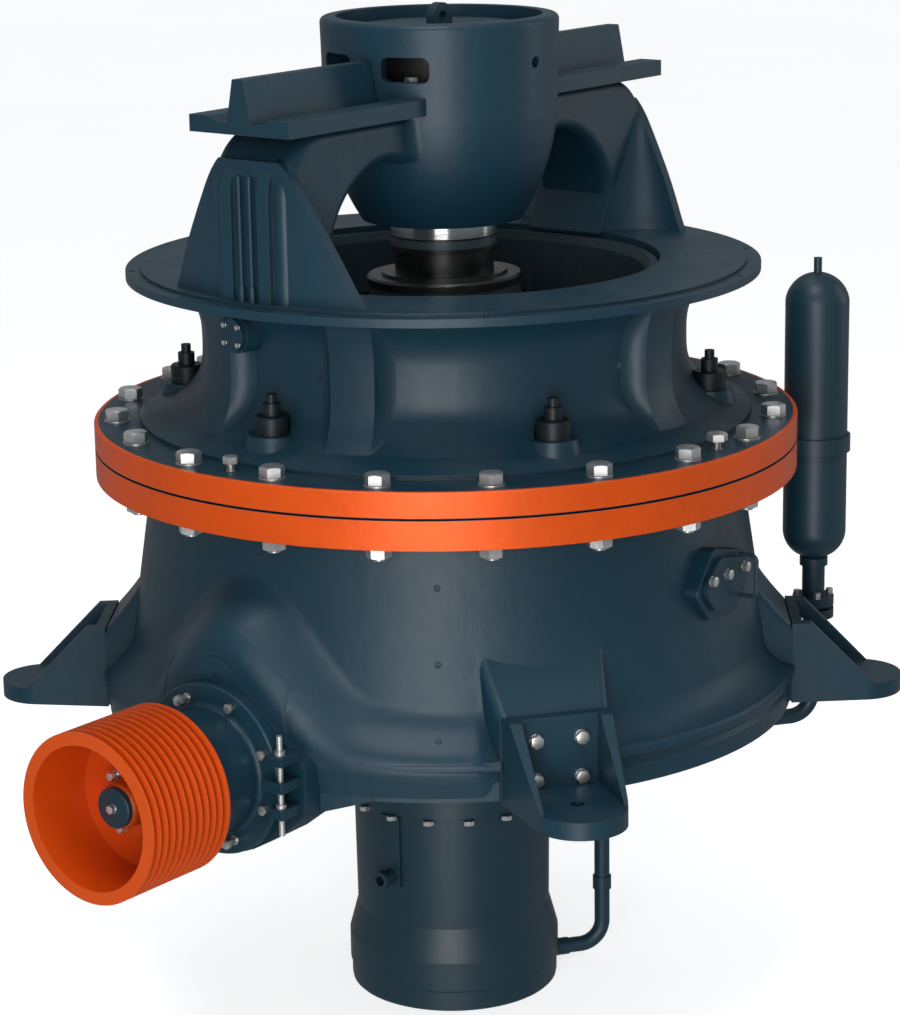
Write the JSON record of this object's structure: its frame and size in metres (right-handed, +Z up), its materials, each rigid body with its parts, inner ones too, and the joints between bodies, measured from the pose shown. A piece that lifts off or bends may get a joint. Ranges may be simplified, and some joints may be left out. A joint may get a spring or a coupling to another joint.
{
  "type": "cone crusher",
  "caption": "Hydraulic cone crusher: flanged top shell with spider and hub, liner chamber with leaning mantle, footed bottom shell, grooved drive pulley, hydraulic cylinder and gas bottle.",
  "frame": {"origin": "on the machine axis, in the plane of the four foundation feet's undersides, at the centre of their bolt pattern", "axes": "+Z up along the machine axis, -Y along the drive shaft towards the pulley, +X to the right seen from the pulley side"},
  "size_m": [2.1714, 2.542, 2.879],
  "materials": {
    "black_steel": "blackened steel",
    "body_paint": "satin blue-grey paint on cast steel",
    "bronze": "bearing bronze",
    "machined_steel": "oiled dark machined steel",
    "manganese_steel": "as-cast manganese steel",
    "pulley_orange": "gloss orange paint",
    "zinc_plated": "bright zinc plate"
  },
  "bodies": {
    "frame": {"access_cover": "body_paint", "accumulator": "body_paint", "accumulator_clamp": "body_paint", "accumulator_valve": "body_paint", "adjusting_screw": "zinc_plated", "arm_shield_back": "body_paint", "arm_shield_front": "body_paint", "bottom_cover": "body_paint", "bottomshell": "body_paint", "clamp_studs": "black_steel", "concave": "manganese_steel", "cylinder_cover": "body_paint", "cylinder_pipe": "body_paint", "cylinder_port": "body_paint", "foot_back_left": "body_paint", "foot_back_right": "body_paint", "foot_front_left": "body_paint", "foot_front_right": "body_paint", "grease_lines": "zinc_plated", "hydroset_cylinder": "body_paint", "neck_cover": "body_paint", "oil_port": "body_paint", "outer_bushing": "bronze", "pinion_housing": "body_paint", "shell_hub": "body_paint", "spider_bushing": "bronze", "spider_cap": "body_paint", "strap_plate": "body_paint", "topshell": "body_paint"},
    "eccentric": {"eccentric": "machined_steel", "gear_ring": "machined_steel"},
    "main_shaft": {"main_shaft": "machined_steel", "shaft_sleeve": "machined_steel", "head_nut": "machined_steel", "head": "machined_steel", "mantle": "manganese_steel", "step_washer": "machined_steel"},
    "piston": {"hydroset_piston": "machined_steel"},
    "pinionshaft": {"pulley": "pulley_orange", "pulley_bushing": "pulley_orange", "pinion_shaft": "machined_steel", "shaft_end_cap": "body_paint"}
  },
  "joints": [
    {"name": "eccentric_turn", "type": "hinge", "parent": "frame", "child": "eccentric", "pos_m": [0, 0, 0.3], "axis": [0, 0, 1], "continuous": true},
    {"name": "shaft_lift", "type": "slide", "parent": "eccentric", "child": "main_shaft", "axis": [-0.0131, 0, 0.9999], "range_m": [-0.1, 0.04]},
    {"name": "piston_lift", "type": "slide", "parent": "frame", "child": "piston", "axis": [0, 0, 1], "range_m": [-0.1, 0.04]},
    {"name": "pinion_turn", "type": "hinge", "parent": "frame", "child": "pinionshaft", "pos_m": [0, -1, 0.053], "axis": [0, -1, 0], "continuous": true}
  ],
  "couplings": [
    {"joint": "piston_lift", "follows": "shaft_lift", "ratio": 0.99991},
    {"joint": "pinion_turn", "follows": "eccentric_turn", "ratio": -2.85}
  ]
}
